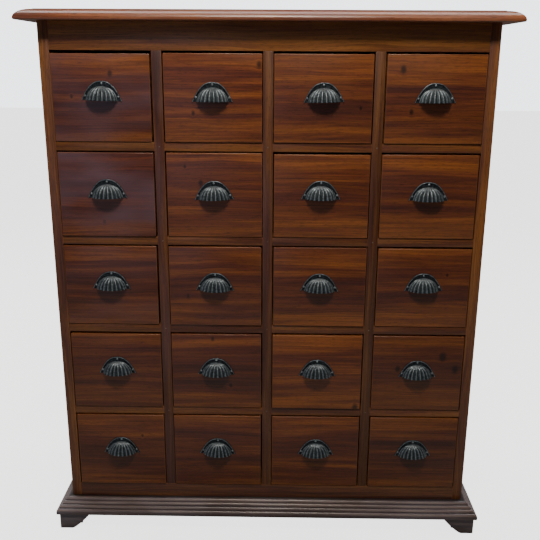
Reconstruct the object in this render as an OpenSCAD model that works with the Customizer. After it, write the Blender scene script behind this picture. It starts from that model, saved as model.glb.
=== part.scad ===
// Apothecary cabinet: a standing chest of small drawers with shell cup pulls.
// X runs across the front, +Y towards the back, +Z up. The origin is on the floor,
// at the middle of the cabinet's footprint. All lengths are in millimetres.

/* [Drawer openings] */
// Number of drawers side by side
cols = 4; // [2:1:4]
// Number of drawers one above another
rows = 5; // [2:1:5]
// Clear width of one drawer opening
opening_w = 200.5; // [150:0.5:260]
// Clear height of one drawer opening
opening_h = 179; // [110:1:240]

/* [Front frame] */
// Width of the upright between two drawers
divider_w = 20.5; // [17:0.5:36]
// Height of the short rail between two drawers
rail_h = 17.5; // [15:0.5:30]
// Depth of the frame's uprights and rails, front to back
frame_t = 22; // [18:1:32]
// Height of the rail above the top drawers
top_rail_h = 55; // [30:1:90]
// Height of the bottom rail that shows above the plinth
bottom_rail_h = 32; // [20:1:60]
// Length of a rail's stub tenon
tenon_l = 7; // [4:0.5:8]
// Wood left around a tenon
tenon_wall = 4; // [3:0.5:5]

/* [Case] */
// Depth of the case behind the front frame's face
case_depth = 340; // [250:5:480]
// Thickness of the side panels
side_t = 21.5; // [16:0.5:32]
// Thickness of the back boards
back_t = 8; // [5:0.5:14]
// Number of back boards
back_count = 6; // [3:1:9]
// Gap between two back boards
back_board_gap = 1; // [0.5:0.5:4]
// Width of the side panel's rebate that holds the back boards
rebate_w = 9; // [5:0.5:12]
// Thickness of the bottom board
base_t = 18; // [10:1:24]
// Height of the bottom board above the underside of the sides
base_up = 10; // [4:1:20]
// Depth of the side panel's groove for the bottom board
dado_depth = 6; // [3:0.5:10]

/* [Runners] */
// Width of the ledge that carries a drawer's side
ledge_w = 12; // [9:1:20]
// Thickness of the runners
runner_h = 17; // [12:0.5:24]
// Height of the guide strips between two drawers
guide_h = 18; // [10:1:40]
// Thickness of the back rails, front to back
back_rail_t = 20; // [14:1:30]
// Height that a back rail stands above the runners, as a stop for the drawers
stop_h = 14; // [8:1:30]

/* [Drawer boxes] */
// Thickness of a drawer's front
front_t = 18; // [14:0.5:26]
// How far a shut drawer stands in front of the frame
front_proud = 2.5; // [0:0.5:6]
// Gap at each end of a drawer's front
side_gap = 2; // [1:0.5:4]
// Gap above a drawer's front
top_gap = 3; // [1:0.5:6]
// Gap under a drawer's front
bottom_gap = 1; // [0.5:0.5:3]
// Thickness of a drawer's sides
box_side_t = 10; // [8:0.5:14]
// Thickness of a drawer's back
box_back_t = 10; // [8:0.5:14]
// Thickness of a drawer's bottom
box_bottom_t = 6; // [4:0.5:8]
// How much lower the sides are than the front
side_drop = 6; // [2:1:20]
// How much lower the back is than the sides
back_drop = 8; // [2:1:20]
// Height of the bottom above the lower edge of the sides
bottom_up = 8; // [5:0.5:14]
// Depth of the groove that holds the bottom
groove_depth = 5; // [3:0.5:6]
// Length of the side that laps into the front
lap_l = 12; // [8:1:14]

/* [Clearances] */
// Clearance between a drawer's sides and its runners
run_gap = 0.3; // [0.2:0.1:1]
// Glue line between two joined pieces
glue_gap = 0.1; // [0.05:0.05:0.3]
// Clearance between a shut drawer and its stop
stop_gap = 1; // [0.5:0.5:3]

/* [Top board] */
// Thickness of the top board
top_t = 22; // [16:1:36]
// How far the top stands out at each side
top_over_side = 35; // [15:1:60]
// How far the top stands out at the front
top_over_front = 33; // [30:1:60]
// Width of the thumbnail moulding along the top's edge
thumb_w = 30; // [10:1:40]
// Depth of the small step above the moulding
thumb_step = 1; // [0.5:0.5:4]
// Height of the moulding's nose above the underside
nose_h = 3; // [2:0.5:8]

/* [Plinth] */
// Height of the plinth moulding
plinth_h = 34; // [24:1:60]
// How far the plinth stands out at its foot
plinth_out = 32; // [20:1:32]
// How far the plinth stands out at its top
plinth_top_out = 7; // [3:1:12]
// Height of the plinth's plain lowest member
plinth_toe_h = 7; // [5:0.5:14]
// Number of reeds above the lowest member
reeds = 4; // [2:1:7]

/* [Feet] */
// Height of the bracket feet
foot_h = 39; // [25:1:80]
// Width of a foot at its top
foot_w = 67; // [50:1:110]
// Width of a foot at the floor
foot_floor_w = 28; // [24:1:45]
// Thickness of a foot's brackets
foot_t = 20; // [14:1:22]
// Height of the plain strip over a bracket's sloping edge
foot_strip_h = 5; // [3:1:10]
// How far the feet stand back from the plinth's edge
foot_set_back = 6; // [0:1:10]
// Width of the glue block inside a foot
foot_block = 26; // [18:1:40]

/* [Cup pulls] */
// Width of a pull across its flange
pull_w = 81; // [60:1:100]
// Height of a pull's flange
pull_h = 38; // [30:1:46]
// Exponent of the flange's arched outline
pull_curve = 2.3; // [2:0.1:3]
// Thickness of the flange
flange_t = 1.6; // [1:0.1:2.5]
// Width of the cup where it meets the flange
cup_w = 64; // [46:1:64]
// How far the cup stands out from the drawer
cup_out = 21; // [16:1:26]
// Distance of the cup's turning axis behind the drawer's face
cup_axis_back = 8; // [2:0.5:10]
// Thickness of the cup's wall
cup_wall = 1.8; // [1.2:0.1:2.5]
// How far the pull's lower edge is below the middle of the drawer's front
pull_drop = 7; // [0:1:20]
// Diameter of a pin's head
pin_head_d = 3.6; // [3:0.1:4]
// Height of a pin's head
pin_head_h = 1.4; // [1:0.1:1.6]
// Diameter of a pin's shank
pin_d = 2; // [1.5:0.1:2.4]
// Length of a pin's shank behind the drawer's face
pin_l = 12; // [8:1:13]
// Distance of a lower pin from the flange's corner, across the flange
pin_corner = 7.3; // [7:0.1:7.5]
// Height of a lower pin above the flange's lower edge
pin_up = 8.2; // [7.5:0.1:9]
// Clearance around a pin
pin_gap = 0.1; // [0.05:0.05:0.3]

/* [Frame nails] */
// Diameter of the nails through the uprights
nail_d = 2.4; // [1.6:0.2:3]
// Length of the nails
nail_l = 18; // [10:1:18]
// Clearance around a nail
nail_gap = 0.05; // [0.02:0.01:0.1]

/* [Hidden] */
function drawer_name(r, c) = str("drawer_r", r, "_c", c);
function pull_name(r, c) = str("pull_r", r, "_c", c);
CASE_NODES = [
    "top_board", "side_left", "side_right", "back_boards", "base_board",
    "top_rail", "bottom_rail", "drawer_runners", "back_rails",
    "plinth_front", "plinth_returns", "bracket_feet", "frame_nails"
];

FRAME_COLOR = "#5b3320";
TOP_COLOR = "#54281a";
PLINTH_COLOR = "#4a332a";
FRONT_COLOR = "#4a2013";
INSIDE_COLOR = "#a5764a";
PULL_COLOR = "#5b6163";
NAIL_COLOR = "#2a2522";

// Heights, from the floor up
base_z = foot_h;
plinth_top_z = base_z + plinth_h;
first_open_z = plinth_top_z + bottom_rail_h;
row_pitch = opening_h + rail_h;
last_open_z = first_open_z + rows * row_pitch - rail_h;
top_z = last_open_z + top_rail_h;

// Widths, about the middle
col_pitch = opening_w + divider_w;
inner_w = cols * col_pitch - divider_w;
case_w = inner_w + 2 * side_t;

// Depths: the footprint's middle is at Y = 0, and the top's nose is its foremost point
front_y = top_over_front / 2 - case_depth / 2;
back_y = front_y + case_depth;
frame_back_y = front_y + frame_t;
boards_y = back_y - back_t;
stop_y = boards_y - glue_gap - back_rail_t;

// A drawer's own sizes
front_w = opening_w - 2 * side_gap;
front_h = opening_h - top_gap - bottom_gap;
drawer_front_y = front_y - front_proud;
drawer_back_y = stop_y - stop_gap;
side_h = front_h + bottom_gap - run_gap - side_drop;
box_inner_w = front_w - 2 * box_side_t;
bottom_z = run_gap + bottom_up;

// A pull's own sizes
cup_r = cup_out + cup_axis_back;
hole_d = pin_d + 2 * pin_gap;
flange_pts = 48;
cup_pts = 24;
pin_places = [
    [-pull_w / 2 + pin_corner, pin_up],
    [pull_w / 2 - pin_corner, pin_up],
    [0, (pull_h + sqrt(pow(cup_r, 2) - pow(cup_axis_back, 2))) / 2]
];

// Left edge of column c, and lower edge of row r, counted from the top
function col_x(c) = -inner_w / 2 + (c - 1) * col_pitch;
function row_z(r) = first_open_z + (rows - r) * row_pitch;
function divider_x(i) = col_x(i) + opening_w;

// Points along an ellipse's arc
function arc(cx, cz, rx, rz, from, to, steps) =
    [for (i = [0 : steps]) let (a = from + (to - from) * i / steps) [cx + rx * cos(a), cz + rz * sin(a)]];

// A cuboid between two corners
module slab(low, high) {
    translate(low) cube(high - low);
}

// A profile in Y and Z, carried along X
module along_x(x0, x1) {
    translate([x0, 0, 0]) rotate([90, 0, 90]) linear_extrude(height = x1 - x0) children();
}

// A profile in X and Z, carried along Y
module along_y(y0, y1) {
    translate([0, y1, 0]) rotate([90, 0, 0]) linear_extrude(height = y1 - y0) children();
}

// ---- Mortise and tenon joints ----

// A rail's tenon towards +X or -X, or, grown by the glue line, the mortise that takes it
module rail_tenon(x, dir, z0, z1, grow) {
    reach = tenon_l + grow;
    slab([dir > 0 ? x - grow : x - reach, front_y + tenon_wall - grow, z0 + tenon_wall - grow],
         [dir > 0 ? x + reach : x + grow, frame_back_y - tenon_wall + grow, z1 - tenon_wall + grow]);
}

// A horizontal rail between two X places, with a tenon at each end
module tenoned_rail(x0, x1, z0, z1) {
    slab([x0 + glue_gap, front_y, z0], [x1 - glue_gap, frame_back_y, z1]);
    rail_tenon(x0 + glue_gap, -1, z0, z1, 0);
    rail_tenon(x1 - glue_gap, 1, z0, z1, 0);
}

// The tenon at an upright's end, pointing up or down from z
module divider_tenon(x, z, dir, grow) {
    reach = tenon_l + grow;
    slab([x + tenon_wall - grow, front_y + tenon_wall - grow, dir > 0 ? z - grow : z - reach],
         [x + divider_w - tenon_wall + grow, frame_back_y - tenon_wall + grow, dir > 0 ? z + reach : z + grow]);
}

// The mortises that the short rails need at X, cut towards dir
module short_rail_mortises(x, dir) {
    for (r = [1 : rows - 1]) rail_tenon(x, dir, row_z(r) - rail_h, row_z(r), glue_gap);
}

// ---- Case ----

// The thumbnail-moulded edge, as points from the underside out and up to the top
function thumbnail(edge) = concat(
    arc(edge - nose_h, nose_h, nose_h, nose_h, -90, 0, 6),
    arc(edge - thumb_w, nose_h, thumb_w, top_t - thumb_step - nose_h, 0, 90, 10),
    [[edge - thumb_w, top_t]]
);

module top_board() {
    half_w = case_w / 2 + top_over_side;
    depth = case_depth + top_over_front;
    right_end = thumbnail(half_w);
    left_end = [for (i = [len(right_end) - 1 : -1 : 0]) [-right_end[i][0], right_end[i][1]]];
    color(TOP_COLOR) translate([0, 0, top_z]) intersection() {
        along_x(-half_w - 1, half_w + 1) mirror([1, 0])
            polygon(concat([[-back_y, top_t], [-back_y, 0]], thumbnail(depth - back_y)));
        along_y(-depth, depth) polygon(concat(right_end, left_end));
    }
}

// The left side panel: the right one is its mirror image
module side_panel() {
    x_out = -case_w / 2;
    x_in = x_out + side_t;
    board_z = base_z + base_up;
    color(FRAME_COLOR) difference() {
        slab([x_out, front_y, base_z + glue_gap], [x_in, back_y, top_z - glue_gap]);
        // rebate for the back boards
        slab([x_in - rebate_w, boards_y - glue_gap, base_z - 1], [x_in + 1, back_y + 1, top_z + 1]);
        // groove for the bottom board
        slab([x_in - dado_depth, frame_back_y, board_z - glue_gap],
             [x_in + 1, boards_y, board_z + base_t + glue_gap]);
        rail_tenon(x_in, -1, last_open_z, top_z, glue_gap);
        rail_tenon(x_in, -1, base_z, first_open_z, glue_gap);
        short_rail_mortises(x_in, -1);
    }
}

module side_left() {
    side_panel();
}

module side_right() {
    mirror([1, 0, 0]) side_panel();
}

module back_boards() {
    span = inner_w + 2 * (rebate_w - glue_gap);
    pitch = (span + back_board_gap) / back_count;
    color(INSIDE_COLOR) for (i = [0 : back_count - 1]) {
        x = -span / 2 + i * pitch;
        slab([x, boards_y, base_z + glue_gap], [x + pitch - back_board_gap, back_y, top_z - glue_gap]);
    }
}

module base_board() {
    half_w = inner_w / 2 + dado_depth - glue_gap;
    color(INSIDE_COLOR)
        slab([-half_w, frame_back_y + glue_gap, base_z + base_up],
             [half_w, boards_y - glue_gap, base_z + base_up + base_t]);
}

// ---- Front frame ----

module top_rail() {
    color(FRAME_COLOR) difference() {
        tenoned_rail(-inner_w / 2, inner_w / 2, last_open_z, top_z - glue_gap);
        for (i = [1 : cols - 1]) divider_tenon(divider_x(i), last_open_z, 1, glue_gap);
    }
}

module bottom_rail() {
    color(FRAME_COLOR) difference() {
        tenoned_rail(-inner_w / 2, inner_w / 2, base_z + glue_gap, first_open_z);
        for (i = [1 : cols - 1]) divider_tenon(divider_x(i), first_open_z, -1, glue_gap);
    }
}

module divider(i) {
    x = divider_x(i);
    color(FRAME_COLOR) difference() {
        union() {
            slab([x, front_y, first_open_z + glue_gap], [x + divider_w, frame_back_y, last_open_z - glue_gap]);
            divider_tenon(x, last_open_z - glue_gap, 1, 0);
            divider_tenon(x, first_open_z + glue_gap, -1, 0);
        }
        short_rail_mortises(x, 1);
        short_rail_mortises(x + divider_w, -1);
        for (r = [1 : rows - 1]) nail(x + divider_w / 2, row_z(r) - rail_h / 2, nail_gap);
    }
}

// The short rails under the drawers of one row
module drawer_rails(row) {
    color(FRAME_COLOR) for (c = [1 : cols])
        tenoned_rail(col_x(c), col_x(c) + opening_w, row_z(row) - rail_h, row_z(row));
}

// A nail driven straight in from the front, or, grown by its clearance, its hole
module nail(x, z, grow) {
    translate([x, front_y - (grow > 0 ? 1 : 0), z]) rotate([-90, 0, 0])
        cylinder(d = nail_d + 2 * grow, h = nail_l + (grow > 0 ? 1 + grow : 0), $fn = 32);
}

module frame_nails() {
    color(NAIL_COLOR) for (i = [1 : cols - 1], r = [1 : rows - 1])
        nail(divider_x(i) + divider_w / 2, row_z(r) - rail_h / 2, 0);
}

// ---- Inside of the case ----

// Runners at the foot of each row, and kickers over the top row, with a ledge for each drawer
module drawer_runners() {
    y0 = frame_back_y + glue_gap;
    y1 = stop_y - glue_gap;
    color(INSIDE_COLOR) {
        for (z = concat([for (r = [1 : rows]) row_z(r) - runner_h], [last_open_z])) {
            slab([-inner_w / 2 + glue_gap, y0, z], [-inner_w / 2 + ledge_w, y1, z + runner_h]);
            slab([inner_w / 2 - ledge_w, y0, z], [inner_w / 2 - glue_gap, y1, z + runner_h]);
            for (i = [1 : cols - 1])
                slab([divider_x(i) - ledge_w, y0, z],
                     [divider_x(i) + divider_w + ledge_w, y1, z + runner_h]);
        }
        for (r = [1 : rows], i = [1 : cols - 1])
            slab([divider_x(i), y0, row_z(r) + glue_gap],
                 [divider_x(i) + divider_w, y1, row_z(r) + guide_h]);
    }
}

// Rails across the back, which carry the runners' ends and stop the drawers
module back_rails() {
    half_w = inner_w / 2 - glue_gap;
    color(INSIDE_COLOR) for (z = concat([for (r = [1 : rows]) row_z(r)], [last_open_z + runner_h]))
        slab([-half_w, stop_y, z - runner_h], [half_w, boards_y - glue_gap, z + stop_h]);
}

// ---- Plinth ----

// The reeded moulding's section: distance out from the case, and height
plinth_section = concat(
    [[0, 0], [plinth_out, 0]],
    [for (i = [0 : reeds - 1])
        let (
            dx = (plinth_out - plinth_top_out) / reeds,
            dz = (plinth_h - plinth_toe_h) / reeds,
            x = plinth_out - (i + 1) * dx,
            z = plinth_toe_h + i * dz
        )
        for (p = arc(x, z, dx, dz, 0, 90, 5)) p],
    [[0, plinth_h]]
);

module plinth_front() {
    half_w = case_w / 2;
    y0 = front_y - glue_gap;
    color(PLINTH_COLOR) intersection() {
        translate([0, y0, base_z]) along_x(-half_w - plinth_out, half_w + plinth_out)
            mirror([1, 0]) polygon(plinth_section);
        // the mitred plan, a glue line short of each corner
        translate([0, y0, base_z - 1]) linear_extrude(height = plinth_h + 2) polygon([
            [-half_w, 0], [half_w, 0],
            [half_w + plinth_out, -plinth_out], [-half_w - plinth_out, -plinth_out]
        ]);
    }
}

module plinth_returns() {
    half_w = case_w / 2 + glue_gap;
    color(PLINTH_COLOR) for (side = [0, 1]) mirror([side, 0, 0]) intersection() {
        translate([half_w, 0, base_z]) along_y(front_y - plinth_out, back_y) polygon(plinth_section);
        translate([half_w, front_y, base_z - 1]) linear_extrude(height = plinth_h + 2) polygon([
            [0, 0], [plinth_out, -plinth_out], [plinth_out, case_depth], [0, case_depth]
        ]);
    }
}

// ---- Feet ----

// The bracket's inner edge, sloping up and out from the floor with a little belly
function bracket_slope(steps) = [for (i = [0 : steps]) let (t = i / steps)
    [foot_floor_w + (foot_w - foot_floor_w) * t, (foot_h - foot_strip_h) * pow(t, 1.3)]];

// One bracket of a foot, along X from the corner at the origin, mitred at the corner
module foot_bracket() {
    top = foot_h - glue_gap;
    intersection() {
        along_y(0, foot_t) polygon(concat(
            [[0, top], [0, 0]],
            bracket_slope(12),
            [[foot_w, top]]
        ));
        translate([0, 0, -1]) linear_extrude(height = foot_h + 2)
            polygon([[glue_gap, 0], [foot_w + 1, 0], [foot_w + 1, foot_t], [foot_t + glue_gap, foot_t]]);
    }
}

module foot() {
    foot_bracket();
    mirror([1, -1, 0]) foot_bracket();
    inside = foot_t + 2 * glue_gap;
    slab([inside, inside, 0], [inside + foot_block, inside + foot_block, foot_h - glue_gap]);
}

module bracket_feet() {
    x = case_w / 2 + plinth_out - foot_set_back;
    color(PLINTH_COLOR) for (side = [0, 1]) mirror([side, 0, 0]) {
        translate([-x, front_y - plinth_out + foot_set_back, 0]) foot();
        translate([-x, back_y, 0]) mirror([0, 1, 0]) foot();
    }
}

// ---- Drawers ----

// A drawer seen from its own corner: X from the opening's left edge, Z from the runners
module drawer_box() {
    x0 = side_gap;
    x1 = x0 + front_w;
    y0 = drawer_front_y;
    y1 = y0 + front_t;
    y2 = drawer_back_y;
    inner_x0 = x0 + box_side_t;
    inner_x1 = inner_x0 + box_inner_w;
    side_top = run_gap + side_h;
    tongue = groove_depth - glue_gap;
    // front, with a notch at each end for the lapped sides and a groove for the bottom
    difference() {
        slab([x0, y0, bottom_gap], [x1, y1, bottom_gap + front_h]);
        for (x = [x0 - 1, inner_x1 - glue_gap])
            slab([x, y1 - lap_l - glue_gap, 0], [x + box_side_t + 1 + glue_gap, y1 + 1, side_top + glue_gap]);
        slab([inner_x0 - 1, y1 - groove_depth, bottom_z - glue_gap],
             [inner_x1 + 1, y1 + 1, bottom_z + box_bottom_t + glue_gap]);
        pull_place() for (p = pin_places) pin_hole(p, pin_l + pin_gap);
    }
    // sides, grooved for the bottom
    for (side = [0, 1]) {
        x = side == 0 ? x0 : inner_x1;
        groove_x = side == 0 ? inner_x0 - groove_depth : inner_x1 - 1;
        difference() {
            slab([x, y1 - lap_l, run_gap], [x + box_side_t, y2, side_top]);
            slab([groove_x, y1 - lap_l - 1, bottom_z - glue_gap],
                 [groove_x + groove_depth + 1, y2 + 1, bottom_z + box_bottom_t + glue_gap]);
        }
    }
    // back, standing on the bottom
    slab([inner_x0 + glue_gap, y2 - box_back_t, bottom_z + box_bottom_t + glue_gap],
         [inner_x1 - glue_gap, y2, side_top - back_drop]);
    // bottom, slid into the grooves from behind
    slab([inner_x0 - tongue, y1 - tongue, bottom_z], [inner_x1 + tongue, y2, bottom_z + box_bottom_t]);
}

// The pull's own frame: X from its middle, Z from its lower edge, Y = 0 on the drawer's face
module pull_place() {
    translate([opening_w / 2, drawer_front_y, bottom_gap + front_h / 2 - pull_drop]) children();
}

module place_drawer(r, c) {
    translate([col_x(c), 0, row_z(r)]) children();
}

module drawer(r, c) {
    color(FRONT_COLOR) place_drawer(r, c) drawer_box();
}

// ---- Pulls ----

module pin_hole(p, depth) {
    translate([p[0], -flange_t - 1, p[1]]) rotate([-90, 0, 0])
        cylinder(d = hole_d, h = flange_t + 1 + depth, $fn = 32);
}

// The arched plate that lies on the drawer's face
module flange() {
    outline = [for (i = [0 : flange_pts])
        let (u = -1 + 2 * i / flange_pts, x = sin(90 * u))
        [pull_w / 2 * x, pull_h * (1 - pow(abs(x), pull_curve))]];
    open_r = cup_r - cup_wall;
    difference() {
        along_y(-flange_t, -glue_gap) polygon(outline);
        // the hollow of the cup goes through to the wood
        cup_solid(cup_w / 2 - cup_wall, open_r);
        for (p = pin_places) pin_hole(p, 1);
    }
}

// A spindle turned about X, of which the cup is a quarter
module cup_solid(half_w, r) {
    half = arc(0, 0, r, half_w, -90, 90, cup_pts);
    translate([0, cup_axis_back, 0]) rotate([0, 90, 0])
        rotate_extrude($fn = 96) polygon(half);
}

module cup() {
    difference() {
        cup_solid(cup_w / 2, cup_r);
        cup_solid(cup_w / 2 - cup_wall, cup_r - cup_wall);
        // only the quarter in front of the flange and above its lower edge is kept
        slab([-pull_w, -2 * cup_r, -2 * cup_r], [pull_w, 2 * cup_r, 0]);
        slab([-pull_w, -flange_t, -1], [pull_w, 2 * cup_r, 2 * cup_r]);
    }
}

// A round-headed pin through the flange into the drawer's front
module pull_pin(p) {
    head_r = (pow(pin_head_d / 2, 2) + pow(pin_head_h, 2)) / (2 * pin_head_h);
    shank_l = flange_t + glue_gap + pin_l;
    translate([p[0], -flange_t - glue_gap, p[1]]) rotate([90, 0, 0]) {
        intersection() {
            translate([0, 0, pin_head_h - head_r]) sphere(r = head_r, $fn = 48);
            cylinder(d = pin_head_d + 1, h = pin_head_h + 1, $fn = 48);
        }
        translate([0, 0, -shank_l]) cylinder(d = pin_d, h = shank_l + pin_head_h / 2, $fn = 32);
    }
}

module pull(r, c) {
    color(PULL_COLOR) place_drawer(r, c) pull_place() {
        flange();
        cup();
        for (p = pin_places) pull_pin(p);
    }
}

// ---- One line for each node ----

top_board();
side_left();
side_right();
back_boards();
base_board();
top_rail();
bottom_rail();
drawer_runners();
back_rails();
plinth_front();
plinth_returns();
bracket_feet();
frame_nails();
for (i = [1 : cols - 1]) divider(i);
for (i = [1 : rows - 1]) drawer_rails(i);
for (r = [1 : rows], c = [1 : cols]) {
    drawer(r, c);
    pull(r, c);
}
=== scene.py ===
import math
import random

import bpy
from mathutils import Matrix, Vector


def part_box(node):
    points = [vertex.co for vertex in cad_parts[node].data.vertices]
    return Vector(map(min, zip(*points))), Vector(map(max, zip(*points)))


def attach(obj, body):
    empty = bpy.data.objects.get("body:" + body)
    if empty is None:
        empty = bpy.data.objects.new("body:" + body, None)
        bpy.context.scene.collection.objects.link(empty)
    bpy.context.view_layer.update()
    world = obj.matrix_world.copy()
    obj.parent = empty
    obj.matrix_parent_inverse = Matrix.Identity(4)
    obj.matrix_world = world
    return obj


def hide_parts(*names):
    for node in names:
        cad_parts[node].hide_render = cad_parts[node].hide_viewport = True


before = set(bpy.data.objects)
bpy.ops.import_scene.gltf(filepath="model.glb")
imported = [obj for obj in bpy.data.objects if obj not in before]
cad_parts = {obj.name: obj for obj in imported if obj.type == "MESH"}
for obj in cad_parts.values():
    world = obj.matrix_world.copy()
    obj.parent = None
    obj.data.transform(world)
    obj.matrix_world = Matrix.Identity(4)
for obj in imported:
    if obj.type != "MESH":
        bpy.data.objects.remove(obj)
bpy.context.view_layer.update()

MM = 0.001
ROWS = range(1, 6)
COLS = range(1, 5)
chance = random.Random(12)


# ---------------------------------------------------------------- camera

def set_camera():
    """A camera just under the height of the top, a long step back, tilted down at the drawers."""
    data = bpy.data.cameras.new("camera")
    data.lens = 48.8
    camera = bpy.data.objects.new("camera", data)
    bpy.context.scene.collection.objects.link(camera)
    tilt, turn, lean = (math.radians(a) for a in (16.0, 0.77, 0.32))
    camera.matrix_world = (
        Matrix.Translation((0.0257, -1.650, 1.053))
        @ Matrix.Rotation(turn, 4, "Z")
        @ Matrix.Rotation(math.pi / 2 - tilt, 4, "X")
        @ Matrix.Rotation(lean, 4, "Z")
    )
    bpy.context.scene.camera = camera


set_camera()


# ---------------------------------------------------------------- bench tools

def shaped(piece):
    """Makes piece the only selected object, ready for an operator."""
    bpy.ops.object.select_all(action="DESELECT")
    piece.select_set(True)
    bpy.context.view_layer.objects.active = piece


def named(name):
    """Names the primitive that was just added and returns it."""
    piece = bpy.context.active_object
    piece.name = name
    piece.data.name = name
    return piece


def block(name, low, high):
    """A squared piece of wood between two corners."""
    low, high = Vector(low), Vector(high)
    bpy.ops.object.select_all(action="DESELECT")
    bpy.ops.mesh.primitive_cube_add(size=1, location=(low + high) / 2, scale=high - low)
    bpy.ops.object.transform_apply(location=True, rotation=True, scale=True)
    return named(name)


def sawn(name, outline, path):
    """An outline of points, cut out and given the thickness that path says."""
    bpy.ops.object.select_all(action="DESELECT")
    bpy.ops.mesh.primitive_circle_add(vertices=len(outline), fill_type="NGON")
    piece = named(name)
    for vertex, point in zip(piece.data.vertices, outline):
        vertex.co = point
    bpy.ops.object.mode_set(mode="EDIT")
    bpy.ops.mesh.select_all(action="SELECT")
    bpy.ops.mesh.extrude_region_move(TRANSFORM_OT_translate={"value": path})
    bpy.ops.mesh.select_all(action="SELECT")
    bpy.ops.mesh.normals_make_consistent(inside=False)
    bpy.ops.object.mode_set(mode="OBJECT")
    return piece


def apply(piece, kind, **settings):
    """Adds a modifier with its settings and applies it."""
    shaped(piece)
    modifier = piece.modifiers.new(kind.lower(), kind)
    for key, value in settings.items():
        setattr(modifier, key, value)
    bpy.ops.object.modifier_apply(modifier=modifier.name)


# A face is square to an axis if the largest part of its normal is at least this; the others are arrises
SQUARE = 0.995


def ease(piece, width, segments=2):
    """Takes the sharpness off a piece's arrises and marks them as the places that wear and that carry a
    painted highlight.
    """
    apply(piece, "BEVEL", width=width, segments=segments, limit_method="ANGLE", angle_limit=math.radians(35))
    wear_and_highlight = piece.data.attributes.new("wear_and_highlight", "FLOAT", "FACE")
    for face, mark in zip(piece.data.polygons, wear_and_highlight.data):
        mark.value = 1.0 if max(abs(n) for n in face.normal) < SQUARE else 0.0
    bpy.ops.object.shade_smooth_by_angle(angle=math.radians(40))


def join(name, pieces):
    """Joins pieces into one object."""
    shaped(pieces[0])
    for piece in pieces[1:]:
        piece.select_set(True)
    bpy.ops.object.join()
    return named(name)


def arc(centre, radii, start, end, steps):
    """Points along an ellipse's arc, angles in degrees."""
    angles = [math.radians(start + (end - start) * i / steps) for i in range(steps + 1)]
    return [(centre[0] + radii[0] * math.cos(a), centre[1] + radii[1] * math.sin(a)) for a in angles]


def copied(master, name, matrix):
    """A copy of master with its own mesh, put where matrix says."""
    piece = master.copy()
    piece.data = master.data.copy()
    piece.name = piece.data.name = name
    piece.data.transform(matrix)
    bpy.context.scene.collection.objects.link(piece)
    return piece


# How near a cut a point may lie and be moved onto it: far less than the thickness of a nail's head
CUT_REACH = 0.001 * MM


def headed(name, place, inset, shank):
    """Makes the flattened ball just added a domed head, cut flat behind.

    It gets a round shank, which starts `inset` in from the head's rim.
    """
    piece = named(name)
    bpy.ops.object.mode_set(mode="EDIT")
    bpy.ops.mesh.select_all(action="SELECT")
    bpy.ops.mesh.bisect(plane_co=(0, 0, 0), plane_no=(0, 1, 0), clear_outer=True, use_fill=True,
                        threshold=CUT_REACH)
    bpy.ops.mesh.inset(thickness=inset)
    bpy.ops.mesh.extrude_region_move(TRANSFORM_OT_translate={"value": (0, shank, 0)})
    bpy.ops.mesh.select_all(action="SELECT")
    bpy.ops.transform.translate(value=place)
    bpy.ops.mesh.normals_make_consistent(inside=False)
    bpy.ops.object.mode_set(mode="OBJECT")
    return piece


# Which way the fibres run: along, across and through the board
FIBRES = {"x": (0, 2, 1), "y": (1, 2, 0), "z": (2, 0, 1)}
# The attributes that say how far a point is from each of a front's knots
KNOT_SLOTS = ("knot_a", "knot_b", "knot_c")
# How far off, in metres, the next board may be cut from the same endless plank
PLANK = 9


def lay_grain(piece, along):
    """Notes on the mesh where each point lies in its plank, so that every board is a different cut."""
    grain = piece.data.attributes.new("grain", "FLOAT_VECTOR", "POINT")
    shift = Vector([chance.uniform(-PLANK, PLANK) for _ in range(3)])
    for vertex, note in zip(piece.data.vertices, grain.data):
        note.vector = Vector([vertex.co[i] for i in FIBRES[along]]) + shift


def stain_and_sheen(piece, depth=0.0, warmth=0.0, bloom=0.0):
    """Notes how a board took the stain, how deep and how warm, and how strong a painted cool bluish sheen
    lies over its lacquer.
    """
    note = piece.data.attributes.new("stain_and_sheen", "FLOAT_VECTOR", "POINT")
    note.data.foreach_set("vector", [depth, warmth, bloom] * len(piece.data.vertices))


def recut(piece):
    """Cuts a board from another part of the plank."""
    shift = Vector([chance.uniform(-PLANK, PLANK) for _ in range(3)])
    for note in piece.data.attributes["grain"].data:
        note.vector = note.vector + shift


def finish_piece(piece, body, material, slot, *nodes):
    """Gives a piece its finish and its body, and hides the CAD nodes that it stands for."""
    piece.data.materials.clear()
    piece.data.materials.append(material)
    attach(piece, body)
    if nodes:
        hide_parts(*nodes)


# ---------------------------------------------------------------- finishes

def hex_colour(code):
    """A #rrggbb colour as linear RGBA."""
    parts = [int(code[i:i + 2], 16) / 255 for i in (1, 3, 5)]
    return [p / 12.92 if p < 0.04045 else ((p + 0.055) / 1.055) ** 2.4 for p in parts] + [1.0]


def add(tree, kind, inputs=(), stops=(), **settings):
    """Adds one node; an input is a value or another node's output. Returns its outputs."""
    node = tree.nodes.new("ShaderNode" + kind)
    for key, value in settings.items():
        setattr(node, key, value)
    for key, value in dict(inputs).items():
        if isinstance(value, bpy.types.NodeSocket):
            tree.links.new(value, node.inputs[key])
        else:
            node.inputs[key].default_value = value
    for i, (place, colour) in enumerate(stops):
        ramp = node.color_ramp.elements
        stop = ramp[i] if i < 2 else ramp.new(place)
        stop.position, stop.color = place, colour
    return node.outputs


def new_material(name):
    material = bpy.data.materials.new(name)
    material.use_nodes = True
    material.node_tree.nodes.clear()
    return material, material.node_tree


def fibre_scale(along, across):
    """The scale that makes one unit `along` mm of fibre and `across` mm the other ways."""
    return 1 / (along * MM), 1 / (across * MM), 1 / (across * MM)


def grey(value):
    return [value, value, value, 1.0]


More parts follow.
